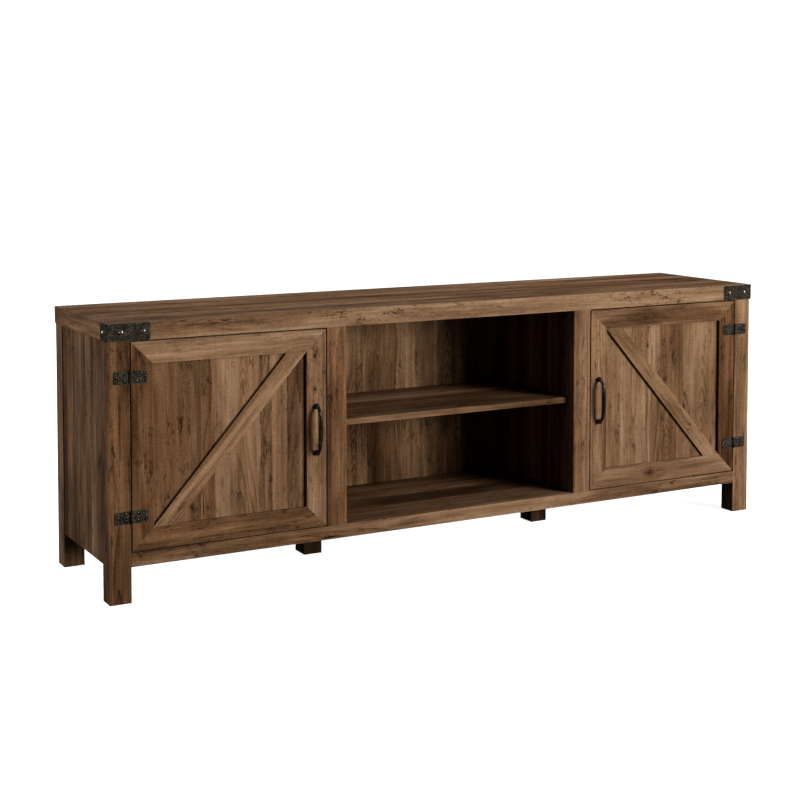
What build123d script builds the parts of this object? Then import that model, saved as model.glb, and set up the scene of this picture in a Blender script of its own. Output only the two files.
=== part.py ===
from build123d import *
import os

# A farmhouse cabinet for a television: a thick top on four legs, two framed and braced doors on
# surface hinges, and an open bay with a shelf between them. Millimetres. +X is to the right seen
# from the front, +Y to the back, +Z up. The origin is on the floor, under the centre of the whole
# object with its handles.

# ---- driving dimensions: the cabinet ----
LENGTH = 1778.0  # top panel, end to end
DEPTH = 384.0  # top panel, front to back
HEIGHT = 609.6
TOP_THICK = 39.6
MEMBER = 49.0  # face width shared by legs, face posts, door stiles and door rails
LEG_DEPTH = 46.0
END_OVERHANG = 2.5  # top panel past the legs, at each end
FRONT_OVERHANG = 0.5
BOARD = 15.0  # side panels, partitions and bottom panel
FACE_THICK = 18.0  # face posts, rails and door frames
RAIL_LOW, RAIL_HIGH = 78.5, 109.5  # front rail, lowest and highest
BAY = 637.0  # clear width of the open bay
BAY_DEPTH = 341.0  # face of the posts to the back panels
BACK_THICK = 5.0
SHELF_THICK, SHELF_TOP = 14.0, 350.0
EDGE = 0.8  # rounding of every wrapped edge
SIDE_RECESS = 3.0  # side panel behind the legs' outer faces
CENTER_SHELF_SETBACK, SIDE_SHELF_SETBACK = 22.0, 62.0
SHELF_SIDE_PLAY, SHELF_BACK_PLAY = 1.0, 2.0
FOOT_WIDTH, FOOT_DEPTH, FOOT_SETBACK = 46.0, 52.0, 166.0
PORT_RADIUS, PORT_X, PORT_Z = 30.0, 601.0, 452.0  # cable port in each side bay's back panel
SHELF_PIN_RADIUS, SHELF_PIN_STEP = 2.5, 64.0
BACK_TONGUE = 7.0  # back panel inside the back leg's groove

# ---- driving dimensions: the doors ----
DOOR_GAP = 3.0
DOOR_PANEL_SETBACK, DOOR_PANEL_THICK = 8.0, 5.0
PANEL_TONGUE = 7.5  # door panel inside the frame's groove
BRACE_THICK = 7.0
FACE_EASE = 0.5  # chamfer round the face of each door member
HINGE_MIDDLES = (188.0, 491.5)  # middle of each hinge above the floor
HINGE_TALL, LEAF_LENGTH, LEAF_THICK = 28.0, 37.5, 2.0
LEAF_SCREWS = ((32.0, 0.0), (13.5, 8.0), (13.5, -8.0))  # out from the hinge line, up from its middle
HINGE_RADIUS = 3.5
PIN_RADIUS, PIN_PLAY, KNUCKLE_GAP = 1.5, 0.05, 0.3
HANDLE_REACH, HANDLE_Z, HANDLE_SPACING = 28.0, 338.0, 107.0
HANDLE_BAR_RADIUS, HANDLE_END_RADIUS = 5.6, 3.0
HANDLE_FOOT_RADIUS, HANDLE_BALL_RADIUS = 6.8, 5.8
STRIKE_THICK, STRIKE_GAP = 1.2, 0.4  # plate on the door, and its gap to the magnet

# ---- driving dimensions: corner brackets ----
BRACKET_THICK, BRACKET_BEND, BRACKET_CORNER = 2.0, 3.0, 4.0
RIVET_RADIUS, RIVET_HEIGHT = 5.5, 3.4

# ---- places that follow from them ----
FRONT = (HANDLE_REACH + FRONT_OVERHANG - DEPTH) / 2  # plane of legs, posts and doors
BACK = FRONT - FRONT_OVERHANG + DEPTH
UNDER_TOP = HEIGHT - TOP_THICK
LEG_OUT = LENGTH / 2 - END_OVERHANG
LEG_IN = LEG_OUT - MEMBER
BACK_LEG_FRONT = BACK - LEG_DEPTH
BAY_HALF = BAY / 2
POST_OUT = BAY_HALF + MEMBER
PARTITION_OUT = BAY_HALF + BOARD
PARTITION_X = BAY_HALF + BOARD / 2
SIDE_OUT = LEG_OUT - SIDE_RECESS
SIDE_IN = SIDE_OUT - BOARD
BOTTOM_LOW = RAIL_HIGH - BOARD
BOTTOM_Z = RAIL_HIGH - BOARD / 2
PANEL_BACK = FRONT + BAY_DEPTH  # front face of the back panels
DOOR_HINGE_X = LEG_IN - DOOR_GAP  # a door's hinge edge, from the middle of the cabinet
DOOR_FREE_X = POST_OUT + DOOR_GAP
DOOR_LOW, DOOR_HIGH = RAIL_HIGH + DOOR_GAP, UNDER_TOP - DOOR_GAP
DOOR_BACK = FRONT + FACE_THICK
HINGE_X, HINGE_Y = LEG_IN - DOOR_GAP / 2, FRONT - HINGE_RADIUS
HANDLE_X = DOOR_FREE_X + MEMBER / 2

LEFT, RIGHT = -1, 1
BOTH = (LEFT, RIGHT)


# ---- shared shapes ----
def board(x0, x1, y0, y1, z0, z1, edge=EDGE):
    """A rectangular board between two corners, with its edges rounded."""
    middle = Pos((x0 + x1) / 2, (y0 + y1) / 2, (z0 + z1) / 2)
    solid = middle * Box(abs(x1 - x0), abs(y1 - y0), abs(z1 - z0))
    return fillet(solid.edges(), edge) if edge else solid


def rod(start, way, radius, length):
    """A cylinder from a point, along a direction."""
    foot = (Align.CENTER, Align.CENTER, Align.MIN)
    return Plane(origin=start, z_dir=way) * Cylinder(radius, length, align=foot)


def cone(start, way, radius, end_radius, length):
    foot = (Align.CENTER, Align.CENTER, Align.MIN)
    return Plane(origin=start, z_dir=way) * Cone(radius, end_radius, length, align=foot)


def dome(start, way, radius, height):
    """A low round head: the cap of a sphere, standing on a point."""
    sphere_radius = (radius**2 + height**2) / (2 * height)
    cap = Pos(0, 0, height - sphere_radius) * Sphere(sphere_radius)
    cap = cap & Pos(0, 0, height) * Box(3 * radius, 3 * radius, 2 * height)
    return Plane(origin=start, z_dir=way) * cap


def front_plate(points, y0, y1):
    """A flat shape drawn as (x, z) points on the cabinet's front, between two depths."""
    outline = make_face(Polyline([(x, y0, z) for x, z in points], close=True))
    return extrude(outline, amount=y1 - y0, dir=(0, 1, 0))


def cross_slotted(head, face, way, width, length, depth):
    """A screw head with a cross cut into its face."""
    place = Plane(origin=face, z_dir=way)
    for size in ((width, length, depth), (length, width, depth)):
        head = head - place * Box(*size)
    return head


def mirrored(solid):
    return mirror(solid, about=Plane.YZ)


def sided(name, side):
    return ("left_" if side < 0 else "right_") + name


class Joinery:
    """The fasteners, kept by kind, and the holes that each board gets for them."""

    DOWEL_RADIUS, DOWEL_HALF = 4.0, 15.0
    CAM_RADIUS, CAM_LENGTH, CAM_SETBACK = 7.4, 12.5, 34.0
    BOLT_RADIUS, BOLT_HEAD_RADIUS, BOLT_HEAD_LENGTH, BOLT_THREAD = 2.5, 3.4, 3.0, 11.0
    PAN_RADIUS, PAN_HEAD_RADIUS, PAN_HEAD_HEIGHT, PAN_LENGTH = 1.5, 3.2, 1.1, 14.0
    PLAY = 0.05
    POCKET_PLAY = 0.1

    def __init__(self):
        self.kinds = {}
        self.holes = {}

    def add(self, kind, solid):
        self.kinds.setdefault(kind, []).append(solid)

    def cut(self, names, solid):
        for name in names:
            self.holes.setdefault(name, []).append(solid)

    def finish(self, name, solid):
        """The board with its holes cut."""
        for hole in self.holes.get(name, []):
            solid = solid - hole
        return solid

    def dowel(self, first, second, point, direction, half=DOWEL_HALF):
        """A wooden dowel across the joint between two boards, half of it in each."""
        way = Vector(*direction)
        start = Vector(*point) - way * half
        self.add("dowels", rod(start, way, self.DOWEL_RADIUS, 2 * half))
        wide = self.DOWEL_RADIUS + self.POCKET_PLAY
        self.cut([first, second], rod(start - way, way, wide, 2 * half + 2))

    def cam(self, panel, receiver, point, outward, face):
        """A cam lock in a panel, seated from its face side, and its bolt in the receiver.

        point is on the joint, at mid thickness of the panel. outward runs from the panel into
        the receiver, and face from mid thickness to the side that the cam is seated from."""
        joint, out, side = Vector(*point), Vector(*outward), Vector(*face)
        centre = joint - out * self.CAM_SETBACK
        seat = centre + side * (BOARD / 2)
        bore = self.BOLT_HEAD_RADIUS + 0.4
        body = rod(seat, -side, self.CAM_RADIUS, self.CAM_LENGTH)
        body = body - rod(centre - out, out, bore, 2 * self.CAM_RADIUS)
        self.add("cam_locks", cross_slotted(body, seat, side, 1.4, 8.0, 2.4))
        neck = centre + out * self.BOLT_HEAD_LENGTH
        shank_length = self.CAM_SETBACK - self.BOLT_HEAD_LENGTH + self.BOLT_THREAD
        shank = rod(neck, out, self.BOLT_RADIUS, shank_length)
        self.add("cam_bolts", shank + rod(centre, out, self.BOLT_HEAD_RADIUS, self.BOLT_HEAD_LENGTH))
        pocket_radius = self.CAM_RADIUS + self.POCKET_PLAY
        self.cut([panel], rod(seat + side, -side, pocket_radius, self.CAM_LENGTH + 1.3))
        self.cut([panel], rod(centre, out, self.BOLT_HEAD_RADIUS + 0.6, self.CAM_SETBACK + 1))
        hole_radius = self.BOLT_RADIUS + self.POCKET_PLAY
        self.cut([receiver], rod(joint - out, out, hole_radius, self.BOLT_THREAD + 2))

    def pan_screw(self, kind, boards, seat, inward):
        """A small round-headed screw. seat is on the surface under its head."""
        way, point = Vector(*inward), Vector(*seat)
        head = dome(point, -way, self.PAN_HEAD_RADIUS, self.PAN_HEAD_HEIGHT)
        face = point - way * self.PAN_HEAD_HEIGHT
        head = cross_slotted(head, face, way, 0.7, self.PAN_HEAD_RADIUS, 1.4)
        self.add(kind, head + rod(point, way, self.PAN_RADIUS, self.PAN_LENGTH))
        self.cut(boards, rod(point - way * 5, way, self.PAN_RADIUS + self.PLAY, self.PAN_LENGTH + 5.5))

    def flush_screw(self, kind, boards, seat, inward, radius, length):
        """A countersunk screw, flush with the first board."""
        way, point = Vector(*inward), Vector(*seat)
        head_radius, head_height = 2 * radius, 1.2 * radius
        head = cone(point, way, head_radius, radius, head_height)
        head = cross_slotted(head, point, way, 0.9, 1.4 * radius, 2.0)
        self.add(kind, head + rod(point + way * 1.1, way, radius, length - 1.1))
        self.cut(boards, rod(point - way, way, radius + self.PLAY, length + 1.5))
        self.cut(boards[:1], cone(point, way, head_radius + self.PLAY, radius + self.PLAY, head_height))


# ---- the cabinet's fixed boards ----
def leg(side, y):
    return board(side * LEG_IN, side * LEG_OUT, y, y + LEG_DEPTH, 0, UNDER_TOP)


def back_leg(side):
    """A back leg, grooved for the end of a back panel."""
    inner, deep = side * (LEG_IN - 1), side * (LEG_IN + BACK_TONGUE + 1)
    groove = board(inner, deep, PANEL_BACK, PANEL_BACK + BACK_THICK, BOTTOM_LOW, UNDER_TOP + 1, 0)
    return leg(side, BACK_LEG_FRONT) - groove


def center_foot(side):
    middle_x, y = side * PARTITION_X, FRONT + FOOT_SETBACK
    half = FOOT_WIDTH / 2
    return board(middle_x - half, middle_x + half, y, y + FOOT_DEPTH, 0, BOTTOM_LOW)


def bottom_panel():
    """The floor of all three bays, notched round the legs."""
    panel = board(-SIDE_IN, SIDE_IN, DOOR_BACK, PANEL_BACK, BOTTOM_LOW, RAIL_HIGH, 0)
    for side in BOTH:
        for y in (FRONT, BACK_LEG_FRONT):
            x0, x1 = side * LEG_IN, side * LEG_OUT
            panel = panel - board(x0, x1, y, y + LEG_DEPTH, BOTTOM_LOW - 1, RAIL_HIGH + 1, 0)
    return panel


def back_panel(side):
    """A side bay's thin back, with a port for cables."""
    x0, x1 = side * (PARTITION_X + 0.2), side * (LEG_IN + BACK_TONGUE)
    panel = board(x0, x1, PANEL_BACK, PANEL_BACK + BACK_THICK, BOTTOM_LOW, UNDER_TOP, 0)
    port = rod((side * PORT_X, PANEL_BACK - 1, PORT_Z), (0, 1, 0), PORT_RADIUS, BACK_THICK + 2)
    return panel - port


def shelf(x0, x1, setback):
    back = PANEL_BACK - SHELF_BACK_PLAY
    return board(x0, x1, FRONT + setback, back, SHELF_TOP - SHELF_THICK, SHELF_TOP)


def carcass_boards():
    """Every fixed board, before its holes are cut."""
    half, seam = LENGTH / 2, PARTITION_X - 0.2
    rail_y = PANEL_BACK + BACK_THICK
    shelf_half = BAY_HALF - SHELF_SIDE_PLAY
    made = {
        "top_panel": board(-half, half, FRONT - FRONT_OVERHANG, BACK, UNDER_TOP, HEIGHT),
        "bottom_panel": bottom_panel(),
        "front_rail": board(-LEG_IN, LEG_IN, FRONT, DOOR_BACK, RAIL_LOW, RAIL_HIGH),
        "back_rail": board(-LEG_IN, LEG_IN, rail_y, rail_y + FACE_THICK, RAIL_LOW, RAIL_HIGH),
        "center_back_panel": board(-seam, seam, PANEL_BACK, rail_y, BOTTOM_LOW, UNDER_TOP, 0),
        "center_shelf": shelf(-shelf_half, shelf_half, CENTER_SHELF_SETBACK),
    }
    for side in BOTH:
        made[sided("front_leg", side)] = leg(side, FRONT)
        made[sided("back_leg", side)] = back_leg(side)
        made[sided("side_panel", side)] = board(
            side * SIDE_IN, side * SIDE_OUT, FRONT + LEG_DEPTH, BACK_LEG_FRONT, RAIL_LOW, UNDER_TOP
        )
        made[sided("partition", side)] = board(
            side * BAY_HALF, side * PARTITION_OUT, DOOR_BACK, PANEL_BACK, RAIL_HIGH, UNDER_TOP
        )
        made[sided("face_post", side)] = board(
            side * BAY_HALF, side * POST_OUT, FRONT, DOOR_BACK, RAIL_HIGH, UNDER_TOP
        )
        made[sided("center_foot", side)] = center_foot(side)
        made[sided("back_panel", side)] = back_panel(side)
        x0, x1 = side * (PARTITION_OUT + SHELF_SIDE_PLAY), side * (SIDE_IN - SHELF_SIDE_PLAY)
        made[sided("shelf", side)] = shelf(x0, x1, SIDE_SHELF_SETBACK) - back_leg_corner(side)
    return made


def back_leg_corner(side):
    """The room that a side shelf leaves for the back leg's inner corner."""
    x0, x1 = side * (LEG_IN - SHELF_SIDE_PLAY), side * LEG_OUT
    return board(x0, x1, BACK_LEG_FRONT - SHELF_BACK_PLAY, BACK, 0, UNDER_TOP, 0)


# ---- the cabinet's fasteners ----
def join_side(joinery, side):
    """Side panel to its two legs, to the top and to the bottom panel."""
    panel = sided("side_panel", side)
    middle_x = side * (SIDE_IN + BOARD / 2)
    for name, y in (("front_leg", FRONT + LEG_DEPTH), ("back_leg", BACK_LEG_FRONT)):
        for z in (140, 330, 510):
            joinery.dowel(sided(name, side), panel, (middle_x, y, z), (0, 1, 0))
    for name, y in (("front_leg", FRONT), ("back_leg", BACK_LEG_FRONT)):
        point = (side * (LEG_IN + LEG_OUT) / 2, y + LEG_DEPTH / 2, UNDER_TOP)
        joinery.dowel(sided(name, side), "top_panel", point, (0, 0, 1))
    for y in (FRONT + 90, FRONT + 290):
        joinery.cam(panel, "top_panel", (middle_x, y, UNDER_TOP), (0, 0, 1), (-side, 0, 0))
        joinery.cam("bottom_panel", panel, (side * SIDE_IN, y, BOTTOM_Z), (side, 0, 0), (0, 0, -1))


def join_partition(joinery, side):
    """Partition to the top, the bottom panel and its face post, and the foot below it."""
    panel, foot = sided("partition", side), sided("center_foot", side)
    middle_x = side * PARTITION_X
    for y in (FRONT + 70, FRONT + 290):
        joinery.cam(panel, "top_panel", (middle_x, y, UNDER_TOP), (0, 0, 1), (side, 0, 0))
        seat = (middle_x, y, BOTTOM_LOW)
        joinery.flush_screw("carcass_screws", ["bottom_panel", panel], seat, (0, 0, 1), 2.3, 45)
    for z in (160, 338, 515):
        point = (middle_x, DOOR_BACK, z)
        joinery.dowel(sided("face_post", side), panel, point, (0, 1, 0), half=12)
    low = (middle_x, FRONT + FOOT_SETBACK + FOOT_DEPTH / 2, BOTTOM_LOW - 35)
    joinery.add("foot_bolts", rod(low, (0, 0, 1), 4, 47))
    joinery.cut([foot, "bottom_panel"], rod(low, (0, 0, 1), 4 + joinery.POCKET_PLAY, 48))


def join_rails(joinery):
    """Front and back rails to the legs and the bottom panel."""
    back_y = PANEL_BACK + BACK_THICK + FACE_THICK
    for x in (-700, -350, 0, 350, 700):
        joinery.dowel("front_rail", "bottom_panel", (x, DOOR_BACK, BOTTOM_Z), (0, 1, 0), half=13)
    for x in (-760, -420, 0, 420, 760):
        back = "center_back_panel" if abs(x) < BAY_HALF else sided("back_panel", x)
        boards = ["back_rail", back, "bottom_panel"]
        joinery.flush_screw("carcass_screws", boards, (x, back_y, BOTTOM_Z), (0, -1, 0), 2.3, 45)
    rail_z = (RAIL_LOW + RAIL_HIGH) / 2
    for side in BOTH:
        for rail, name, y in (("front_rail", "front_leg", DOOR_BACK), ("back_rail", "back_leg", back_y)):
            point = (side * LEG_IN, y - FACE_THICK / 2, rail_z)
            joinery.dowel(rail, sided(name, side), point, (side, 0, 0))


def nail_back(joinery, side):
    """Nails through the back panels into the back edges of the partitions."""
    panels = ((-3.5, "center_back_panel"), (3.5, sided("back_panel", side)))
    for z in range(150, 560, 80):
        for offset, panel in panels:
            start = Vector(side * (PARTITION_X + offset), PANEL_BACK + BACK_THICK, z)
            nail = rod(start, (0, -1, 0), 0.8, 18) + rod(start, (0, 1, 0), 2.0, 0.8)
            joinery.add("back_panel_nails", nail)
            hole = rod(start + Vector(0, 1, 0), (0, -1, 0), 0.8 + joinery.PLAY, 20)
            joinery.cut([panel, sided("partition", side)], hole)


def place_shelf_pins(joinery):
    """Pin holes in columns of three, with a pin in the middle hole of each."""
    deep, proud = 9.0, 9.0
    pin_z = SHELF_TOP - SHELF_THICK - SHELF_PIN_RADIUS
    columns = []
    for side in BOTH:
        for y in (FRONT + 51, FRONT + 300):
            columns.append((sided("partition", side), side * BAY_HALF, y, side))
        for y in (FRONT + 105, FRONT + 270):
            columns.append((sided("partition", side), side * PARTITION_OUT, y, -side))
            columns.append((sided("side_panel", side), side * SIDE_IN, y, side))
    for name, x, y, way in columns:
        for step in (-1, 0, 1):
            start = (x - way, y, pin_z + step * SHELF_PIN_STEP)
            joinery.cut([name], rod(start, (way, 0, 0), SHELF_PIN_RADIUS + joinery.PLAY, deep + 1.3))
        pin = rod((x - way * proud, y, pin_z), (way, 0, 0), SHELF_PIN_RADIUS, deep + proud)
        joinery.add("shelf_pins", pin)


def magnet_catch(joinery, side):
    """A two-pole magnet in a housing under the top, held by two screws through its ears."""
    x, pole_z = side * (DOOR_FREE_X + 30), DOOR_HIGH - 8.5
    front = DOOR_BACK + STRIKE_THICK + STRIKE_GAP
    body = board(x - 20, x + 20, front + 1.5, front + 15, UNDER_TOP - 17, UNDER_TOP, 1.5)
    ears = board(x - 31, x + 31, front + 3, front + 13, UNDER_TOP - 3, UNDER_TOP, 1.0)
    catch = body + ears
    for offset in (-4.5, 4.5):
        z = pole_z + offset
        catch = catch + board(x - 16, x + 16, front, front + 6, z - 1, z + 1, 0)
    for offset in (-25.5, 25.5):
        seat = (x + offset, front + 8, UNDER_TOP - 3)
        joinery.pan_screw("frame_screws", ["top_panel", "catch"], seat, (0, 0, 1))
    return catch


# ---- doors: modelled on the left, mirrored for the right ----
def door_frame():
    """Four mitred members, grooved inside for the panel, then the panel and the brace."""
    x0, x1, z0, z1 = -DOOR_HINGE_X, -DOOR_FREE_X, DOOR_LOW, DOOR_HIGH
    ix0, ix1, iz0, iz1 = x0 + MEMBER, x1 - MEMBER, z0 + MEMBER, z1 - MEMBER
    outlines = {
        "door_hinge_stile": [(x0, z0), (ix0, iz0), (ix0, iz1), (x0, z1)],
        "door_handle_stile": [(x1, z0), (x1, z1), (ix1, iz1), (ix1, iz0)],
        "door_top_rail": [(x0, z1), (ix0, iz1), (ix1, iz1), (x1, z1)],
        "door_bottom_rail": [(x0, z0), (x1, z0), (ix1, iz0), (ix0, iz0)],
    }
    panel_front = FRONT + DOOR_PANEL_SETBACK
    panel = board(
        ix0 - PANEL_TONGUE,
        ix1 + PANEL_TONGUE,
        panel_front,
        panel_front + DOOR_PANEL_THICK,
        iz0 - PANEL_TONGUE,
        iz1 + PANEL_TONGUE,
        0,
    )
    members = {name: door_member(points) - panel for name, points in outlines.items()}
    brace = [(ix0, iz0), (ix0 + MEMBER, iz0), (ix1, iz1), (ix1 - MEMBER, iz1)]
    members["door_panel"] = panel
    members["door_brace"] = front_plate(brace, panel_front - BRACE_THICK, panel_front)
    return members


def door_member(points):
    """A stile or rail, eased along every edge of its face so that the mitres show as fine lines."""
    member = front_plate(points, FRONT, DOOR_BACK)
    return chamfer(member.faces().sort_by(Axis.Y)[0].edges(), FACE_EASE)


def corner_splines():
    """A thin key across each mitre, set behind the panel's plane."""
    splines = []
    inset = 17.0
    for x, way_x in ((-DOOR_HINGE_X, 1), (-DOOR_FREE_X, -1)):
        for z, way_z in ((DOOR_LOW, 1), (DOOR_HIGH, -1)):
            middle = Pos(x + way_x * inset, FRONT + 11, z + way_z * inset)
            splines.append(middle * Rot(0, 45, 0) * Box(20, 4, 20))
    return splines


def handle():
    """A bowed pull, thick in the middle and thin at its ends, on two ball feet."""
    x, half = -HANDLE_X, HANDLE_SPACING / 2
    bar_y = FRONT - HANDLE_REACH + HANDLE_BAR_RADIUS
    ball_y = FRONT - 2.4 - HANDLE_BALL_RADIUS * 0.8
    places = [
        (x, ball_y, HANDLE_Z - half),
        (x, bar_y + 5.5, HANDLE_Z - half + 10),
        (x, bar_y + 1.2, HANDLE_Z - half + 26),
        (x, bar_y, HANDLE_Z),
        (x, bar_y + 1.2, HANDLE_Z + half - 26),
        (x, bar_y + 5.5, HANDLE_Z + half - 10),
        (x, ball_y, HANDLE_Z + half),
    ]
    path = Spline(places)
    sections = []
    for step in range(13):
        along = step / 12
        thin = abs(2 * along - 1) ** 2
        radius = HANDLE_BAR_RADIUS - (HANDLE_BAR_RADIUS - HANDLE_END_RADIUS) * thin
        place = Plane(origin=path @ along, x_dir=(1, 0, 0), z_dir=path % along)
        sections.append(place * Circle(radius))
    bar = loft(sections)
    for end in BOTH:
        z = HANDLE_Z + end * half
        bar = bar + rod((x, FRONT, z), (0, -1, 0), HANDLE_FOOT_RADIUS, 1.6)
        bar = bar + rod((x, FRONT, z), (0, -1, 0), HANDLE_FOOT_RADIUS - 2, 4)
        bar = bar + Pos(x, ball_y, z) * Sphere(HANDLE_BALL_RADIUS)
    for end in BOTH:
        bar = bar - rod((x, FRONT + 1, HANDLE_Z + end * half), (0, -1, 0), 2.05, 9)
    return bar


def handle_screw(joinery, end):
    """A machine screw from inside the door into a foot of the handle."""
    point, way = Vector(-HANDLE_X, DOOR_BACK, HANDLE_Z + end * HANDLE_SPACING / 2), Vector(0, -1, 0)
    head = dome(point, -way, 4.0, 2.4)
    head = cross_slotted(head, point - way * 2.4, way, 1.0, 4.5, 2.6)
    joinery.add("door_handle_screws", head + rod(point, way, 2.0, FACE_THICK + 7))
    joinery.cut(["door_handle_stile"], rod(point - way, way, 2.1, FACE_THICK + 2))


def knuckle_spans(middle, moving):
    """Heights of a leaf's own knuckles: the middle third if moving, else the outer thirds."""
    low, high = middle - HINGE_TALL / 2, middle + HINGE_TALL / 2
    third, ease = HINGE_TALL / 3, KNUCKLE_GAP / 2
    if moving:
        return [(low + third + ease, high - third - ease)]
    return [(low, low + third - ease), (high - third + ease, high)]


def hinge_leaf(way, middle, moving):
    """A leaf with its knuckles. way is the direction that it lies in from the hinge line."""
    low, high = middle - HINGE_TALL / 2, middle + HINGE_TALL / 2
    wide = HINGE_RADIUS + 0.6
    plate = board(
        -HINGE_X + way * wide, -HINGE_X + way * LEAF_LENGTH, FRONT - LEAF_THICK, FRONT, low, high, 0
    )
    outer = plate.edges().filter_by(Axis.Y).group_by(Axis.X)[-1 if way > 0 else 0]
    leaf = fillet(outer, 5.0)
    inner_x = -HINGE_X + way * 1.2
    for z0, z1 in knuckle_spans(middle, moving):
        leaf = leaf + board(inner_x, -HINGE_X + way * wide, FRONT - LEAF_THICK, FRONT, z0, z1, 0)
        leaf = leaf + rod((-HINGE_X, HINGE_Y, z0), (0, 0, 1), HINGE_RADIUS, z1 - z0)
    return leaf - rod((-HINGE_X, HINGE_Y, low - 1), (0, 0, 1), PIN_RADIUS + PIN_PLAY, HINGE_TALL + 2)


def hinge_pin(middle):
    low = middle - HINGE_TALL / 2
    pin = rod((-HINGE_X, HINGE_Y, low), (0, 0, 1), PIN_RADIUS, HINGE_TALL)
    return pin + dome((-HINGE_X, HINGE_Y, low + HINGE_TALL), (0, 0, 1), HINGE_RADIUS - 0.2, 1.6)


def hang_door(joinery):
    """Both hinges of the left door: their leaves, pins and screws."""
    for middle in HINGE_MIDDLES:
        halves = (("door_hinge_leaves", RIGHT, "door_screws", "door_hinge_stile"),)
        halves += (("hinge_frame_leaves", LEFT, "frame_screws", "front_leg"),)
        for kind, way, screws, wood in halves:
            leaf = hinge_leaf(way, middle, moving=way == RIGHT)
            for out, up in LEAF_SCREWS:
                seat = Vector(-HINGE_X + way * out, FRONT - LEAF_THICK, middle + up)
                joinery.pan_screw(screws, [wood], seat, (0, 1, 0))
                leaf = leaf - rod(seat, (0, 1, 0), joinery.PAN_RADIUS + 0.1, LEAF_THICK + 1)
            joinery.add(kind, leaf)
        joinery.add("hinge_pins", hinge_pin(middle))


def strike_plate(joinery):
    """The steel plate on the door's inner face that the magnet holds."""
    x, z = -(DOOR_FREE_X + 30), DOOR_HIGH - 8.5
    y = DOOR_BACK
    plate = board(x - 19, x + 19, y, y + STRIKE_THICK, z - 6.5, z + 6.5, 0)
    joinery.pan_screw("door_screws", ["door_top_rail"], (x, y + STRIKE_THICK, z), (0, -1, 0))
    return plate - rod((x, y - 1, z), (0, 1, 0), joinery.PAN_RADIUS + 0.1, 4)


def left_door(joinery):
    """Every moving piece of the left door, as name to solid."""
    hang_door(joinery)
    for end in BOTH:
        handle_screw(joinery, end)
    pieces = door_frame()
    plate = strike_plate(joinery)
    splines = corner_splines()
    for name in ("door_hinge_stile", "door_handle_stile", "door_top_rail", "door_bottom_rail"):
        joinery.holes.setdefault(name, []).extend(splines)
        pieces[name] = joinery.finish(name, pieces[name])
    pieces["door_handle"] = handle()
    pieces["door_strike_plate"] = plate
    pieces["door_corner_splines"] = Compound(children=splines)
    for kind in ("door_hinge_leaves", "door_screws", "door_handle_screws"):
        pieces[kind] = Compound(children=joinery.kinds[kind])
    return pieces


# ---- corner brackets ----
def corner_bracket(side, front_length, side_length, front_rivets, side_rivets, joinery):
    """A bent plate round a front corner of the top, and its rivets, all measured from the corner."""
    low, high = UNDER_TOP + 0.2, HEIGHT - 0.6
    corner_x, corner_y = side * LENGTH / 2, FRONT - FRONT_OVERHANG
    out_x, out_y = corner_x + side * BRACKET_THICK, corner_y - BRACKET_THICK
    tip_x, tip_y = corner_x - side * front_length, corner_y + side_length
    outer = board(tip_x, out_x, out_y, tip_y, low, high, 0)
    upright = outer.edges().filter_by(Axis.Z)
    outer = fillet(upright.sort_by(lambda edge: edge.center().Y - side * edge.center().X)[0], BRACKET_BEND)
    inside = board(tip_x - side, corner_x, corner_y, tip_y + 1, low - 1, high + 1, 0)
    plate = outer - inside
    tip = plate.edges().filter_by(Axis.Y).group_by(Axis.X)[-1 if side < 0 else 0]
    plate = fillet(tip, BRACKET_CORNER)
    z = (low + high) / 2
    spots = [((corner_x - side * out, out_y, z), (0, 1, 0)) for out in front_rivets]
    spots += [((out_x, corner_y + out, z), (-side, 0, 0)) for out in side_rivets]
    for seat, inward in spots:
        way, point = Vector(*inward), Vector(*seat)
        rivet = dome(point, -way, RIVET_RADIUS, RIVET_HEIGHT) + rod(point, way, 2.0, 16)
        joinery.add("corner_bracket_rivets", rivet)
        hole = rod(point - way, way, 2.0 + joinery.PLAY, 18)
        plate = plate - hole
        joinery.cut(["top_panel"], hole)
    return plate


def build():
    """Every node of the model, as name to solid or to a group of separate solids."""
    cabinet, door = Joinery(), Joinery()
    for side in BOTH:
        join_side(cabinet, side)
        join_partition(cabinet, side)
        nail_back(cabinet, side)
    join_rails(cabinet)
    place_shelf_pins(cabinet)
    nodes = {
        "left_corner_bracket": corner_bracket(LEFT, 98, 34, (33.0, 83.5), (17.0,), cabinet),
        "right_corner_bracket": corner_bracket(RIGHT, 90, 44, (22.5, 73.0), (28.0,), cabinet),
    }
    catches = [magnet_catch(cabinet, side) for side in BOTH]
    for name, solid in left_door(door).items():
        nodes["left_" + name] = solid
        nodes["right_" + name] = mirrored(solid)
    for kind in ("hinge_frame_leaves", "hinge_pins", "frame_screws"):
        for solid in door.kinds[kind]:
            cabinet.add(kind, solid)
            cabinet.add(kind, mirrored(solid))
    for hole in door.holes["front_leg"]:
        cabinet.cut(["left_front_leg"], hole)
        cabinet.cut(["right_front_leg"], mirrored(hole))
    for hole in cabinet.holes.pop("catch"):
        catches = [catch - hole for catch in catches]
    cabinet.kinds["magnet_catches"] = catches
    for name, solid in carcass_boards().items():
        nodes[name] = cabinet.finish(name, solid)
    for kind, solids in cabinet.kinds.items():
        nodes[kind] = Compound(children=solids)
    return nodes


os.makedirs("parts", exist_ok=True)
for node_name, node in build().items():
    export_step(node, f"parts/{node_name}.step")
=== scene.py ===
import math

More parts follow.
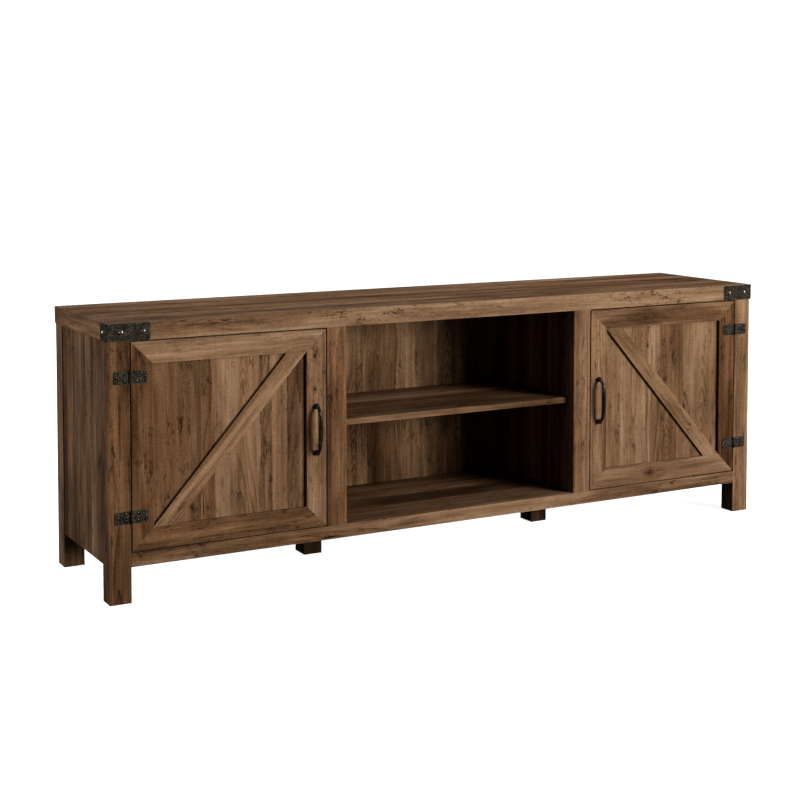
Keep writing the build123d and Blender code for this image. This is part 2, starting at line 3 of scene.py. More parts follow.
import bpy
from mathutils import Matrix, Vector


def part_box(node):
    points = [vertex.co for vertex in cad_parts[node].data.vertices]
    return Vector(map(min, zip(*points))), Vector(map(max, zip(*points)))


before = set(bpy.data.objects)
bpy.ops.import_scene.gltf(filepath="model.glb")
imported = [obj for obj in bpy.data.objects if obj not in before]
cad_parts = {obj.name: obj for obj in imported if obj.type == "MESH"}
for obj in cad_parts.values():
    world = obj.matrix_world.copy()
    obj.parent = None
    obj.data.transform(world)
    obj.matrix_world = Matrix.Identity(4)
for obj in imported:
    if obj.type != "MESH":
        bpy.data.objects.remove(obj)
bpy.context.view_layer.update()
scene = bpy.context.scene


# ---- node helpers ----
class Graph:
    """A material's node tree, built up by short calls. A value is a socket or a number."""

    def __init__(self, name):
        self.material = bpy.data.materials.new(name)
        self.material.use_nodes = True
        self.tree = self.material.node_tree
        self.tree.nodes.clear()
        self.shader = self.node("ShaderNodeBsdfPrincipled")
        output = self.node("ShaderNodeOutputMaterial")
        self.tree.links.new(self.shader.outputs[0], output.inputs["Surface"])

    def node(self, kind, **settings):
        made = self.tree.nodes.new(kind)
        for key, value in settings.items():
            setattr(made, key, value)
        return made

    def put(self, socket, value):
        if isinstance(value, bpy.types.NodeSocket):
            self.tree.links.new(value, socket)
        else:
            socket.default_value = value

    def position(self):
        """The point being shaded, in its object's own metres."""
        return self.node("ShaderNodeTexCoord").outputs["Object"]

    def math(self, operation, first, second=0.0, third=0.0):
        made = self.node("ShaderNodeMath", operation=operation)
        for socket, value in zip(made.inputs, (first, second, third)):
            self.put(socket, value)
        return made.outputs[0]

    def vector(self, operation, first, second=(0.0, 0.0, 0.0)):
        made = self.node("ShaderNodeVectorMath", operation=operation)
        self.put(made.inputs[0], first)
        self.put(made.inputs[1], second)
        return made.outputs["Value" if operation in ("DOT_PRODUCT", "LENGTH") else "Vector"]

    def split(self, vector):
        made = self.node("ShaderNodeSeparateXYZ")
        self.put(made.inputs[0], vector)
        return made.outputs[:3]

    def join(self, x, y, z):
        made = self.node("ShaderNodeCombineXYZ")
        for socket, value in zip(made.inputs, (x, y, z)):
            self.put(socket, value)
        return made.outputs[0]

    def noise(self, vector, scale=1.0, detail=3.0, roughness=0.5, distortion=0.0):
        """Noise from 0 to 1, mostly near a half. The scale is in features per metre."""
        made = self.node("ShaderNodeTexNoise")
        self.put(made.inputs["Vector"], vector)
        made.inputs["Scale"].default_value = scale
        made.inputs["Detail"].default_value = detail
        made.inputs["Roughness"].default_value = roughness
        made.inputs["Distortion"].default_value = distortion
        return made.outputs["Fac"]

    def centred(self, value):
        """A value from 0 to 1, moved to swing about 0."""
        return self.math("SUBTRACT", value, 0.5)

    def remap(self, value, low, high, to_low=0.0, to_high=1.0, smooth=False):
        """A value between two limits, spread over two others and held to them."""
        made = self.node("ShaderNodeMapRange", clamp=True)
        made.interpolation_type = "SMOOTHSTEP" if smooth else "LINEAR"
        for socket, number in zip(made.inputs, (value, low, high, to_low, to_high)):
            self.put(socket, number)
        return made.outputs[0]

    def ramp(self, value, stops):
        """A colour for each value, from (place, (r, g, b)) stops."""
        made = self.node("ShaderNodeValToRGB")
        elements = made.color_ramp.elements
        elements[0].position, elements[0].color = stops[0][0], (*stops[0][1], 1.0)
        elements[1].position, elements[1].color = stops[-1][0], (*stops[-1][1], 1.0)
        for place, colour in stops[1:-1]:
            elements.new(place).color = (*colour, 1.0)
        self.put(made.inputs[0], value)
        return made.outputs[0]

    def mix(self, factor, first, second, blend="MIX"):
        """A colour mix. Colours may be sockets or (r, g, b)."""
        made = self.node("ShaderNodeMix", data_type="RGBA", blend_type=blend)
        self.put(made.inputs[0], factor)
        for socket, value in ((made.inputs[6], first), (made.inputs[7], second)):
            self.put(socket, value if isinstance(value, bpy.types.NodeSocket) else (*value, 1.0))
        return made.outputs[2]

    def choose(self, factor, first, second):
        """A vector mix."""
        made = self.node("ShaderNodeMix", data_type="VECTOR")
        self.put(made.inputs[0], factor)
        self.put(made.inputs[4], first)
        self.put(made.inputs[5], second)
        return made.outputs[1]

    def edge(self, radius):
        """1 on sharp edges, 0 on flat ground."""
        rounded = self.node("ShaderNodeBevel", samples=3)
        rounded.inputs["Radius"].default_value = radius
        flat = self.node("ShaderNodeNewGeometry").outputs["Normal"]
        agreement = self.vector("DOT_PRODUCT", rounded.outputs[0], flat)
        return self.remap(agreement, 0.99, 0.80)

    def bump(self, height, distance, strength):
        made = self.node("ShaderNodeBump")
        made.inputs["Strength"].default_value = strength
        made.inputs["Distance"].default_value = distance
        self.put(made.inputs["Height"], height)
        self.put(self.shader.inputs["Normal"], made.outputs[0])


# ---- rustic oak laminate ----
OAK_SHADES = [
    (0.00, (0.013, 0.006, 0.003)),
    (0.20, (0.041, 0.020, 0.009)),
    (0.40, (0.104, 0.054, 0.026)),
    (0.55, (0.174, 0.097, 0.050)),
    (0.70, (0.254, 0.150, 0.083)),
    (0.85, (0.335, 0.210, 0.124)),
    (1.00, (0.425, 0.284, 0.184)),
]
WEATHERED_TINT = (0.80, 0.87, 0.90)
RED_TINT = (1.0, 0.85, 0.72)
PORE_TINT = (0.42, 0.36, 0.32)

# Layers of noise in the print: features per metre across the grain and along it, detail,
# roughness, distortion, weight in the shade, and whether a board's contrast scales that weight.
PRINT_LAYERS = {
    "broad": (13, 1.9, 3.0, 0.50, 0.0, 0.80, False),
    "blotch": (30, 7.0, 4.0, 0.52, 0.6, 0.44, True),
    "band": (56, 1.7, 4.0, 0.60, 0.0, 0.75, True),
    "streak": (210, 3.6, 4.0, 0.62, 0.1, 0.36, True),
    "grit": (400, 260.0, 3.0, 0.70, 0.0, 0.46, False),
    "fibre": (700, 14.0, 2.0, 0.60, 0.0, 0.30, False),
}
# How much each of these darkens the shade where it is strongest.
FLAME_DEPTH, ARCH_DEPTH, SMUDGE_DEPTH, FLECK_DEPTH = 0.17, 0.19, 0.34, 0.20
WHOLE_BOARD = [(1.0, 0.0, 0.0)]
ON_END = 0.7  # how squarely a face looks along X to be a board's end
END_SHARE = 0.18  # where across its planks a board's banded ends take their shade from
WOOD_EDGE_WEAR_AND_HIGHLIGHT = 0.0022  # how far rubbing and the painted edge highlight reach in from an edge, in metres
WOOD_RELIEF = 0.0003  # depth of the embossed grain, in metres
DULL = 0.13  # specular level of laminate and powder coat
RAGGED = 0.07  # how far a plank's border wanders, as a share of the board's width
PRINT_STEP = 7.3  # the most that a plank's print is moved along the grain, in metres


class Face:
    """A board's wide face: which axes run along and across its grain, and places on it."""

    def __init__(self, board, grain):
        self.low, self.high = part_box(board)
        self.along = "XYZ".index(grain) if isinstance(grain, str) else 2
        others = [axis for axis in range(3) if axis != self.along]
        self.across = max(others, key=lambda axis: self.high[axis] - self.low[axis])

    def offsets_from(self, g, share_across, share_along):
        """How far a point is from a place on the face, across the grain and along it, in metres.

        The place is given as shares of the board's width and length.
        """
        coordinates = g.split(g.position())
        gaps = []
        for axis, share in ((self.across, share_across), (self.along, share_along)):
            middle = self.low[axis] + share * (self.high[axis] - self.low[axis])
            gaps.append(g.math("SUBTRACT", coordinates[axis], middle))
        return gaps


def on_end(g):
    """1 on a board's two end faces, 0 elsewhere."""
    normal = g.node("ShaderNodeTexCoord").outputs["Normal"]
    return g.math("GREATER_THAN", g.math("ABSOLUTE", g.split(normal)[0]), ON_END)


def grain_space(g, grain, banded):
    """Object coordinates as (across, across, along the grain), in metres.

    With banded, the ends carry edge banding, whose grain runs along the end face.
    """
    position = g.position()
    x, y, z = g.split(position)
    if grain == "X":
        space = g.join(z, y, x)
        return g.choose(on_end(g), space, g.join(z, x, y)) if banded else space
    if grain == "Z":
        return position
    along = Vector(grain).normalized()
    across = Vector((along.z, 0.0, -along.x))
    sideways = g.vector("DOT_PRODUCT", position, across)
    lengthways = g.vector("DOT_PRODUCT", position, along)
    return g.join(sideways, y, lengthways)


def plank_layout(g, face, planks, banded):
    """Shade, redness and stretch of print of the plank at a point, for planks side by side.

    Each plank is (where it ends as a share of the board's width, shade, redness). A banded end
    face takes them all from one place.
    """
    position = g.position()
    share = g.remap(g.split(position)[face.across], face.low[face.across], face.high[face.across])
    fineness = [220.0, 220.0, 220.0]
    fineness[face.along] = 5.0
    ragged = g.noise(g.vector("MULTIPLY", position, tuple(fineness)), 1.0, 3.0, 0.6)
    share = g.math("MULTIPLY_ADD", g.centred(ragged), RAGGED, share)
    if banded:
        end = on_end(g)
        share = g.math("MULTIPLY", share, g.math("SUBTRACT", 1.0, end))
        share = g.math("MULTIPLY_ADD", end, END_SHARE, share)
    ramp = g.node("ShaderNodeValToRGB")
    ramp.color_ramp.interpolation = "CONSTANT"
    elements = ramp.color_ramp.elements
    start = 0.0
    for index, (end_share, shade, red) in enumerate(planks):
        stretch = (index * 0.381) % 1.0
        element = elements[0] if index == 0 else elements.new(start)
        element.position, element.color = start, (0.5 + shade, red, stretch, 1.0)
        start = end_share
    elements.remove(elements[-1])
    g.put(ramp.inputs[0], share)
    shade, red, stretch = g.split(ramp.outputs[0])
    return g.centred(shade), red, stretch


def knot_field(g, face, knots):
    """How far the grain is pushed aside, and how dark it is, round each knot.

    Each knot is (share of the board's width, share of its length, radius in metres, darkness).
    """
    push, dark = 0.0, 0.0
    for share_across, share_along, radius, depth in knots:
        aside, ahead = face.offsets_from(g, share_across, share_along)
        oval = g.join(g.math("DIVIDE", aside, radius), g.math("DIVIDE", ahead, 1.5 * radius), 0.0)
        distance = g.vector("LENGTH", oval)
        bend = g.remap(distance, 0.5, 4.0, 0.75, 0.0, True)
        push = g.math("ADD", push, g.math("MULTIPLY", aside, bend))
        wave = g.math("SINE", g.math("MULTIPLY", distance, 11.0))
        rings = g.math("MULTIPLY_ADD", wave, 0.25 * depth, 0.35 * depth)
        rings = g.math("MULTIPLY", rings, g.remap(distance, 1.0, 2.2, 1.0, 0.0, True))
        core = g.remap(distance, 0.35, 1.0, depth, 0.0, True)
        dark = g.math("ADD", dark, g.math("ADD", rings, core))
    return push, dark


def arch_field(g, face, arches, warp):
    """Darkness of cathedral figure: pointed arches stacked along the grain.

    Each stack is (share of the board's width, share of its length, half width, half length, arches).
    """
    dark = 0.0
    for share_across, share_along, half_width, half_length, count in arches:
        aside, ahead = face.offsets_from(g, share_across, share_along)
        aside = g.math("DIVIDE", aside, half_width)
        ahead = g.math("DIVIDE", ahead, half_length)
        phase = g.math("MULTIPLY_ADD", g.math("POWER", g.math("ABSOLUTE", aside), 1.6), 0.9, ahead)
        phase = g.math("MULTIPLY_ADD", g.centred(warp), 1.5, phase)
        line = g.math("POWER", g.math("FRACT", g.math("MULTIPLY", phase, 0.5 * count)), 2.5)
        mask = g.remap(g.math("ABSOLUTE", aside), 0.55, 1.0, ARCH_DEPTH, 0.0, True)
        mask = g.math("MULTIPLY", mask, g.remap(g.math("ABSOLUTE", ahead), 0.6, 1.0, 1.0, 0.0, True))
        dark = g.math("MULTIPLY_ADD", line, mask, dark)
    return dark


def oak(
    board,
    grain,
    offset,
    tone=0.0,
    red=0.0,
    planks=WHOLE_BOARD,
    contrast=1.0,
    figure=1.0,
    smudges=1.0,
    knots=(),
    arches=(),
    banded=False,
    fade=0.0,
):
    """Rustic oak print: planks of uneven tone, long streaks, flame figure, pores and dark smudges.

    The grain is an axis or a direction, and the offset is the board's place in the print. The tone
    lightens the whole board, and the fade darkens its foot and lightens its head by that much.
    """
    g = Graph("oak_" + board)
    face = Face(board, grain)
    across, deep, along = g.split(grain_space(g, grain, banded))
    plank_shade, plank_red, plank_stretch = plank_layout(g, face, planks, banded)
    push, knot_dark = knot_field(g, face, knots)

    across = g.math("SUBTRACT", g.math("ADD", across, offset[0]), push)
    deep = g.math("ADD", deep, offset[1])
    along = g.math("ADD", along, offset[2])
    along = g.math("MULTIPLY_ADD", plank_stretch, PRINT_STEP, along)
    warp = g.noise(g.join(g.math("MULTIPLY", across, 6), deep, g.math("MULTIPLY", along, 3)), 1.0, 2.0)
    across = g.math("MULTIPLY_ADD", g.centred(warp), 0.016, across)

    def layer(wide, long, detail=3.0, roughness=0.5, distortion=0.0):
        """Noise with so many features per metre across the grain and along it."""
        place = g.vector("MULTIPLY", g.join(across, deep, along), (wide, wide, long))
        return g.noise(place, 1.0, detail, roughness, distortion)

    # flame figure: contour lines of a slow noise, each dark on one side and fading on the other
    contour = g.math("FRACT", g.math("MULTIPLY", layer(10, 1.1, 2.0, 0.4), 22.0))
    contour = g.math("POWER", contour, 2.5)
    flame_place = g.remap(layer(12, 1.4, 2.0), 0.48, 0.62, 0.0, 1.0, True)
    flame = g.math("MULTIPLY", g.math("MULTIPLY", contour, flame_place), -FLAME_DEPTH * figure)

    shade = g.math("ADD", plank_shade, 0.5 + tone)
    if fade:
        height = g.split(g.position())[2]
        shade = g.math("ADD", shade, g.remap(height, face.low.z, face.high.z, -fade, fade))
    layers = {}
    for name, (*settings, weight, scaled) in PRINT_LAYERS.items():
        layers[name] = layer(*settings)
        weight = weight * contrast if scaled else weight
        shade = g.math("MULTIPLY_ADD", g.centred(layers[name]), weight, shade)
    shade = g.math("ADD", shade, flame)
    shade = g.math("SUBTRACT", shade, arch_field(g, face, arches, warp))

    # smudges: ragged dark weathering, and short dark flecks
    smudge = g.remap(layer(95, 28.0, 6.0, 0.78, 0.5), 0.54, 0.64, 0.0, 1.0)
    smudge_place = g.remap(layer(16, 5.5, 2.0), 0.46, 0.58)
    smudge = g.math("MULTIPLY", g.math("MULTIPLY", smudge, smudge_place), SMUDGE_DEPTH * smudges)
    fleck = g.remap(layer(260, 34.0, 3.0, 0.65), 0.58, 0.74, 0.0, FLECK_DEPTH * smudges)
    fleck = g.math("MULTIPLY", fleck, g.remap(layer(9, 3.0, 2.0), 0.40, 0.62, 0.15, 1.0))
    shade = g.math("SUBTRACT", g.math("SUBTRACT", shade, smudge), g.math("ADD", fleck, knot_dark))
    colour = g.ramp(shade, OAK_SHADES)

    # warmer planks and patches, and greyer weathered ones
    drift = g.remap(layer(16, 1.8, 2.0), 0.48, 0.66, 0.0, 0.40)
    drift = g.math("ADD", g.math("ADD", drift, plank_red), red)
    colour = g.mix(drift, colour, RED_TINT, "MULTIPLY")
    weathered = g.remap(layer(22, 5.0, 4.0, 0.6), 0.52, 0.66, 0.0, 0.40)
    colour = g.mix(weathered, colour, WEATHERED_TINT, "MULTIPLY")

    # pores: short dark dashes along the grain, and faint saw marks across it
    pore = g.remap(layer(950, 60.0, 1.0), 0.62, 0.74, 0.0, 0.36)
    colour = g.mix(pore, colour, PORE_TINT, "MULTIPLY")
    saw = layer(20, 480.0, 2.0)
    value = g.node("ShaderNodeHueSaturation")
    g.put(value.inputs["Value"], g.remap(saw, 0.35, 0.65, 0.95, 1.05))
    g.put(value.inputs["Color"], colour)

    # rubbed edges: lighter at every edge, partly wear and partly a painted edge highlight
    wear_and_highlight = g.math("MULTIPLY", g.edge(WOOD_EDGE_WEAR_AND_HIGHLIGHT), g.remap(layers["streak"], 0.40, 0.60, 0.10, 0.42))
    g.put(g.shader.inputs["Base Color"], g.mix(wear_and_highlight, value.outputs[0], OAK_SHADES[-1][1]))

    g.put(g.shader.inputs["Roughness"], g.remap(layers["streak"], 0.3, 0.7, 0.62, 0.46))
    g.shader.inputs["Specular IOR Level"].default_value = DULL
    height = g.math("SUBTRACT", g.math("MULTIPLY", layers["fibre"], 0.5), pore)
    height = g.math("MULTIPLY_ADD", layers["streak"], 0.5, height)
    g.bump(g.math("MULTIPLY_ADD", saw, 0.3, height), WOOD_RELIEF, 0.5)
    return g.material


def dress(node, material):
    """Give a CAD node its material in place of the plain one."""
    mesh_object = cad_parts[node]
    mesh_object.data.materials.clear()
    mesh_object.data.materials.append(material)


# ---- metals and small parts ----
# The edge width is how far rubbing and the painted edge highlight reach in from an edge.
IRON_EDGE_WEAR_AND_HIGHLIGHT, IRON_RELIEF = 0.0012, 0.0010  # in metres


def iron():
    """Charcoal powder coat with a pebbled texture, and edges lightened partly by rubbing and partly as a
    painted edge highlight.
    """
    g = Graph("textured_iron")
    place = g.position()
    pebble = g.noise(place, 420.0, 3.0, 0.6)
    patch = g.noise(place, 90.0, 3.0, 0.6)
    mottle = g.math("MULTIPLY_ADD", patch, 0.3, g.math("MULTIPLY", pebble, 0.7))
    colour = g.ramp(mottle, [
        (0.38, (0.002, 0.0015, 0.001)),
        (0.50, (0.010, 0.008, 0.005)),
        (0.61, (0.052, 0.040, 0.025)),
    ])
    # rubbed edges: lighter at every edge, partly wear and partly a painted edge highlight
    wear_and_highlight = g.math("MULTIPLY", g.edge(IRON_EDGE_WEAR_AND_HIGHLIGHT), g.remap(patch, 0.35, 0.60, 0.25, 0.8))
    g.put(g.shader.inputs["Base Color"], g.mix(wear_and_highlight, colour, (0.17, 0.13, 0.095)))
    g.put(g.shader.inputs["Roughness"], g.remap(pebble, 0.3, 0.7, 0.62, 0.42))
    g.shader.inputs["Specular IOR Level"].default_value = DULL
    g.bump(pebble, IRON_RELIEF, 0.9)
    return g.material


def bronze():
    """Oil-rubbed bronze: near black, browner and brighter where hands rub it."""
    g = Graph("oil_rubbed_bronze")
    place = g.position()
    wear = g.noise(place, 60.0, 4.0, 0.6)
    fine = g.noise(place, 1200.0, 2.0)
    g.put(g.shader.inputs["Base Color"], g.ramp(wear, [
        (0.35, (0.010, 0.008, 0.007)),
        (0.60, (0.026, 0.020, 0.016)),
        (0.75, (0.075, 0.050, 0.034)),
    ]))
    g.shader.inputs["Metallic"].default_value = 0.4
    g.put(g.shader.inputs["Roughness"], g.remap(wear, 0.3, 0.7, 0.30, 0.20))
    g.bump(fine, 0.00005, 0.5)
    return g.material


def aged_metal(name, dark, light):
    """Aged nickel heads, light with dark pits."""
    g = Graph(name)
    place = g.position()
    pits = g.noise(place, 500.0, 3.0, 0.6)
    g.put(g.shader.inputs["Base Color"], g.ramp(pits, [(0.35, dark), (0.60, light)]))
    g.shader.inputs["Metallic"].default_value = 0.9
    g.put(g.shader.inputs["Roughness"], g.remap(pits, 0.3, 0.7, 0.30, 0.20))
    g.bump(pits, 0.0001, 0.5)
    return g.material


def plain_metal(name, colour, roughness):
    """Plated steel with a faint brushed tone."""
    g = Graph(name)
    place = g.position()
    brush = g.noise(place, 400.0, 3.0, 0.6)
    darker = tuple(0.7 * part for part in colour)
    g.put(g.shader.inputs["Base Color"], g.ramp(brush, [(0.3, darker), (0.7, colour)]))
    g.shader.inputs["Metallic"].default_value = 1.0
    g.put(g.shader.inputs["Roughness"], g.remap(brush, 0.3, 0.7, roughness + 0.1, roughness))
    g.bump(brush, 0.00005, 0.4)
    return g.material


def plain_matt(name, colour):
    """Moulded plastic or bare beech, with a fine speckle."""
    g = Graph(name)
    place = g.position()
    grit = g.noise(place, 900.0, 2.0)
    darker = tuple(0.8 * part for part in colour)
    g.put(g.shader.inputs["Base Color"], g.ramp(grit, [(0.35, darker), (0.65, colour)]))
    g.put(g.shader.inputs["Roughness"], g.remap(grit, 0.3, 0.7, 0.5, 0.4))
    g.bump(grit, 0.0001, 0.4)
    return g.material


# ---- the cabinet's boards ----
# The braces run from corner to corner of the left and right doors, less one member's width.
brace_low, brace_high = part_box("left_door_brace")
leg_low, leg_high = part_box("left_front_leg")
MEMBER = leg_high.x - leg_low.x
BRACE_RISE = Vector((brace_high.x - brace_low.x - MEMBER, 0.0, brace_high.z - brace_low.z))
BRACE_FALL = Vector((-BRACE_RISE.x, 0.0, BRACE_RISE.z))

RED = 0.6  # redness of the warm boards

# Planks of the printed panels: where each ends as a share of the width, shade, redness.
TOP_PLANKS = [
    (0.03, 0.05, 0.0),
    (0.12, -0.02, 0.4),
    (0.24, -0.12, 0.3),
    (0.33, 0.07, 0.3),
    (0.47, -0.03, 0.5),
    (0.60, -0.12, 0.7),
    (0.74, 0.05, 0.2),
    (0.86, -0.07, 0.5),
    (1.0, 0.05, 0.3),
]
SIDE_PLANKS = [
    (0.16, -0.08, 0.0),
    (0.30, 0.06, 0.0),
    (0.42, -0.02, 0.2),
    (0.62, 0.07, 0.0),
    (0.75, -0.10, 0.0),
    (0.88, 0.04, 0.3),
    (1.0, -0.04, 0.0),
]
BACK_PLANKS = [
    (0.07, 0.0, 0.0),
    (0.14, 0.09, 0.0),
    (0.24, -0.09, 0.0),
    (0.36, 0.07, 0.0),
    (0.50, -0.04, 0.2),
    (0.66, 0.05, 0.0),
    (0.82, -0.06, 0.0),
    (1.0, 0.04, 0.2),
]
SHELF_PLANKS = [(0.3, 0.03, 0.0), (0.55, -0.06, 0.0), (0.8, 0.05, 0.1), (1.0, -0.02, 0.0)]
LEFT_DOOR_PLANKS = [
    (0.24, 0.01, 0.4),
    (0.32, -0.08, 0.2),
    (0.40, -0.02, 0.4),
    (0.68, 0.12, 0.1),
    (0.76, -0.02, 0.1),
    (0.86, 0.0, 0.2),
    (1.0, -0.10, 0.1),
]
RIGHT_DOOR_PLANKS = [
    (0.24, -0.02, 0.0),
    (0.36, -0.07, 0.0),
    (0.48, 0.0, 0.0),
    (0.62, -0.14, 0.45),
    (0.68, -0.07, 0.0),
    (1.0, 0.08, 0.0),
]

BACK_ARCHES = [(0.10, 0.78, 0.026, 0.13, 9), (0.31, 0.35, 0.030, 0.16, 9), (0.73, 0.6, 0.034, 0.18, 8)]
LEFT_DOOR_ARCHES = [(0.58, 0.82, 0.020, 0.090, 7)]
RIGHT_DOOR_ARCHES = [
    (0.33, 0.80, 0.020, 0.085, 9),
    (0.54, 0.17, 0.022, 0.080, 9),
    (0.84, 0.45, 0.030, 0.150, 8),
]
HANDLE_STILE_KNOTS = [(0.42, 0.70, 0.004, 0.34), (0.40, 0.87, 0.003, 0.3)]
BOTTOM_RAIL_KNOTS = [(0.55, 0.41, 0.011, 0.17)]

# Boards whose grain runs along the cabinet, and then boards whose grain stands upright.
LEVEL_BOARDS = {
    "top_panel": dict(offset=(0.0, 0.3, 0.0), tone=0.08, planks=TOP_PLANKS, banded=True, smudges=1.5),
    "bottom_panel": dict(offset=(2.0, 0.1, 4.0), tone=-0.08, planks=SHELF_PLANKS, banded=True),
    "front_rail": dict(offset=(3.0, 0.7, 7.0), tone=0.04, smudges=1.3),
    "back_rail": dict(offset=(4.0, 0.2, 1.0)),
    "center_shelf": dict(offset=(1.3, 2.0, 2.5), tone=-0.05, planks=SHELF_PLANKS, banded=True),
    "left_shelf": dict(offset=(1.3, 2.0, 5.5), planks=SHELF_PLANKS, banded=True),
    "right_shelf": dict(offset=(6.3, 2.0, 2.5), planks=SHELF_PLANKS, banded=True),
    "left_door_top_rail": dict(offset=(1.2, 4.1, 3.0), tone=0.12, smudges=0.6),
    "left_door_bottom_rail": dict(offset=(6.2, 1.1, 3.0), tone=-0.09, red=RED),
    "right_door_top_rail": dict(offset=(5.2, 0.1, 1.0), tone=-0.08, red=0.2, smudges=1.6),
    "right_door_bottom_rail": dict(offset=(0.2, 5.1, 4.0), tone=0.08, knots=BOTTOM_RAIL_KNOTS),
}
UPRIGHT_BOARDS = {
    "center_back_panel": dict(
        offset=(0.4, 1.0, 2.0), tone=-0.08, planks=BACK_PLANKS, contrast=0.75, fade=0.11, arches=BACK_ARCHES
    ),
    "left_back_panel": dict(offset=(5.4, 1.0, 3.0), planks=BACK_PLANKS),
    "right_back_panel": dict(offset=(7.4, 1.0, 1.0), planks=BACK_PLANKS),
    "left_side_panel": dict(offset=(1.0, 3.0, 6.0), tone=-0.08, planks=SIDE_PLANKS, contrast=0.95),
    "right_side_panel": dict(offset=(9.0, 3.0, 2.0), planks=SIDE_PLANKS, contrast=0.95),
    "left_partition": dict(offset=(2.0, 7.0, 1.0), planks=SIDE_PLANKS),
    "right_partition": dict(offset=(4.0, 8.0, 4.0), planks=SIDE_PLANKS),
    "left_front_leg": dict(offset=(1.7, 2.1, 1.0), tone=-0.17, red=RED),
    "right_front_leg": dict(offset=(8.7, 2.1, 3.0), tone=0.11),
    "left_back_leg": dict(offset=(3.7, 5.1, 1.4), tone=-0.06),
    "right_back_leg": dict(offset=(5.7, 4.1, 2.2)),
    "left_face_post": dict(offset=(6.1, 1.1, 5.0), tone=-0.05, red=RED),
    "right_face_post": dict(offset=(2.1, 6.1, 3.0), tone=0.04),
    "left_center_foot": dict(offset=(6.6, 3.1, 5.0), tone=-0.54),
    "right_center_foot": dict(offset=(2.6, 3.1, 5.0), tone=-0.38),
    "left_door_hinge_stile": dict(offset=(4.4, 0.1, 2.0), tone=-0.12, red=RED),
    "left_door_handle_stile": dict(offset=(5.2, 3.1, 6.0), knots=HANDLE_STILE_KNOTS),
    "left_door_panel": dict(
        offset=(0.4, 0.5, 0.7), tone=0.01, planks=LEFT_DOOR_PLANKS, contrast=0.6, arches=LEFT_DOOR_ARCHES
    ),
    "right_door_hinge_stile": dict(offset=(3.1, 3.3, 2.0), tone=-0.17, red=RED + 0.2),
    "right_door_handle_stile": dict(offset=(4.6, 3.9, 4.0), tone=0.11),
    "right_door_panel": dict(
        offset=(2.4, 2.5, 1.7),
        tone=0.04,
        planks=RIGHT_DOOR_PLANKS,
        contrast=0.65,
        figure=1.4,
        arches=RIGHT_DOOR_ARCHES,
    ),
}
for board_name, look in LEVEL_BOARDS.items():
    dress(board_name, oak(board_name, "X", **look))
for board_name, look in UPRIGHT_BOARDS.items():
    dress(board_name, oak(board_name, "Z", **look))
dress("left_door_brace", oak("left_door_brace", BRACE_RISE, offset=(1.9, 0.5, 3.7), tone=0.07))
dress("right_door_brace", oak("right_door_brace", BRACE_FALL, offset=(3.9, 1.5, 0.7), tone=0.06))

IRON, BRONZE = iron(), bronze()
RIVET = aged_metal("aged_nickel", (0.16, 0.13, 0.10), (0.62, 0.55, 0.46))
SCREW = aged_metal("black_nickel", (0.02, 0.017, 0.014), (0.11, 0.10, 0.085))
ZINC = plain_metal("zinc_plate", (0.55, 0.55, 0.53), 0.3)
CATCH = plain_matt("catch_plastic", (0.035, 0.025, 0.02))
BEECH = plain_matt("beech_dowel", (0.55, 0.36, 0.2))
FITTINGS = {
    IRON: ["hinge_frame_leaves", "hinge_pins"],
    BRONZE: [],
    RIVET: ["corner_bracket_rivets"],
    SCREW: ["frame_screws"],
    ZINC: ["cam_locks", "cam_bolts", "carcass_screws", "foot_bolts", "back_panel_nails", "shelf_pins"],
    CATCH: ["magnet_catches"],
    BEECH: ["dowels"],
}
for side in ("left", "right"):
    FITTINGS[IRON] += [side + "_corner_bracket", side + "_door_hinge_leaves"]
    FITTINGS[BRONZE] += [side + "_door_handle"]
    FITTINGS[SCREW] += [side + "_door_screws"]
    FITTINGS[ZINC] += [side + "_door_strike_plate", side + "_door_handle_screws"]
    FITTINGS[BEECH] += [side + "_door_corner_splines"]
for material, fittings in FITTINGS.items():
    for fitting in fittings:
        dress(fitting, material)
VISIBLE_METAL = FITTINGS[IRON] + FITTINGS[BRONZE] + FITTINGS[RIVET] + FITTINGS[SCREW]


# ---- stage, light and camera ----
FLOOR_RADIUS = 40.0
MIDDLE = (0.0, 0.0, 0.3)  # the point that the lights face
ROOM_GLOW = 0.025  # light from all round
BACKDROP = 1.05  # how bright the room looks to the camera
FLOOR_SUN, FLOOR_SUN_ANGLE = 4.1, 60.0


def floor():
    """A plain pale floor, which throws no light or reflection on the cabinet."""
    bpy.ops.mesh.primitive_circle_add(vertices=96, radius=FLOOR_RADIUS, fill_type="NGON", location=(0, 0, 0))
    made = bpy.context.object
    made.name = "floor"
    g = Graph("pale_floor")
    cloud = g.noise(g.position(), 0.7, 3.0)
    pale = g.ramp(cloud, [(0.3, (0.84, 0.84, 0.84)), (0.7, (0.87, 0.87, 0.87))])
    g.put(g.shader.inputs["Base Color"], pale)
    g.shader.inputs["Roughness"].default_value = 0.9
    g.shader.inputs["Specular IOR Level"].default_value = 0.1
    made.data.materials.append(g.material)
    made.visible_diffuse = False
    made.visible_glossy = False
    return made


def lamp(name, kind, place, energy):
    data = bpy.data.lights.new(name, kind)
    data.energy = energy
    made = bpy.data.objects.new(name, data)
    made.location = place
    scene.collection.objects.link(made)
    return made


def softbox(name, place, size, power, in_gloss=True):
    """A rectangular studio light that faces the middle of the cabinet."""
    made = lamp(name, "AREA", place, power)
    made.data.shape = "RECTANGLE"
    made.data.size, made.data.size_y = size
    made.rotation_euler = (Vector(MIDDLE) - Vector(place)).to_track_quat("-Z", "Y").to_euler()
    made.visible_glossy = in_gloss
    return made


def around(azimuth, elevation, distance):
    """A point round the cabinet: azimuth 0 is in front, positive to the right."""
    a, e = math.radians(azimuth), math.radians(elevation)
    flat = distance * math.cos(e)
    return (flat * math.sin(a), -flat * math.cos(a), MIDDLE[2] + distance * math.sin(e))


def collect(name, objects):
    made = bpy.data.collections.new(name)
    for member in objects:
        made.objects.link(member)
    return made


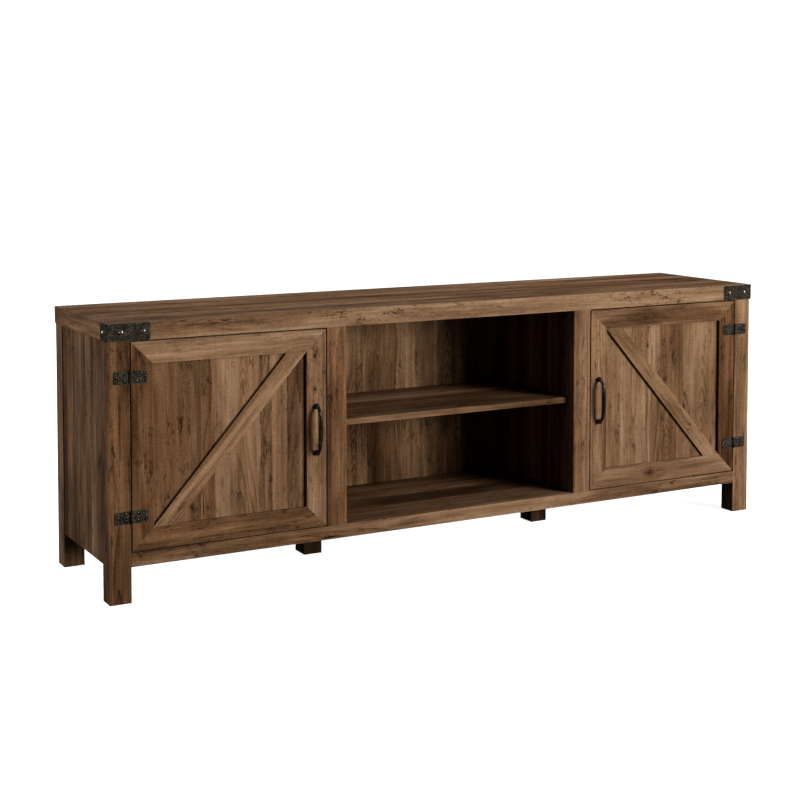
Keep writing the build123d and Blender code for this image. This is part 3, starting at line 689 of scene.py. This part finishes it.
def light_stage(floor_object):
    """A broad key from the front right, weak fills, and a sun that lights only the floor."""
    softbox("key", around(35, 9, 8.0), (1.5, 1.5), 300, in_gloss=False)
    softbox("soft_key", around(35, 11, 8.0), (4.4, 2.6), 580, in_gloss=False)
    softbox("sheen", around(35, 30, 6.0), (1.6, 1.6), 60)
    glint = softbox("glint", around(30, 20, 5.0), (0.7, 0.7), 120)
    metal = [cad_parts[fitting] for fitting in VISIBLE_METAL]
    glint.light_linking.receiver_collection = collect("metal_only", metal)
    softbox("back_fill", around(200, 25, 4.5), (3.0, 2.0), 100, in_gloss=False)
    softbox("left_fill", around(-98, 10, 3.5), (2.0, 1.4), 54)
    softbox("top_fill", (0.5, 0.7, 3.0), (3.0, 1.4), 34)
    floor_only = collect("floor_only", [floor_object])
    floor_light = lamp("floor_light", "SUN", (0.0, 0.0, 6.0), FLOOR_SUN)
    floor_light.data.angle = math.radians(FLOOR_SUN_ANGLE)
    floor_light.light_linking.receiver_collection = floor_only
    floor_light.light_linking.blocker_collection = floor_only


def room():
    """A white room that looks bright but gives the cabinet little light."""
    world = bpy.data.worlds.new("studio")
    scene.world = world
    world.use_nodes = True
    tree = world.node_tree
    background = tree.nodes["Background"]
    background.inputs["Color"].default_value = (1.0, 1.0, 1.0, 1.0)
    seen = tree.nodes.new("ShaderNodeLightPath")
    strength = tree.nodes.new("ShaderNodeMapRange")
    strength.inputs["To Min"].default_value = ROOM_GLOW
    strength.inputs["To Max"].default_value = BACKDROP
    tree.links.new(seen.outputs["Is Camera Ray"], strength.inputs["Value"])
    tree.links.new(strength.outputs[0], background.inputs["Strength"])


def camera():
    """From the front left, a little above the top."""
    data = bpy.data.cameras.new("camera")
    data.sensor_width, data.lens = 36.0, 69.46
    data.shift_y = -0.225
    made = bpy.data.objects.new("camera", data)
    made.location = (-1.9042, -3.3329, 1.0187)
    downward, to_the_right = math.radians(3.308), math.radians(28.686)
    made.rotation_euler = (math.radians(90) - downward, 0.0, -to_the_right)
    scene.collection.objects.link(made)
    scene.camera = made


light_stage(floor())
room()
camera()
scene.view_settings.view_transform = "Standard"
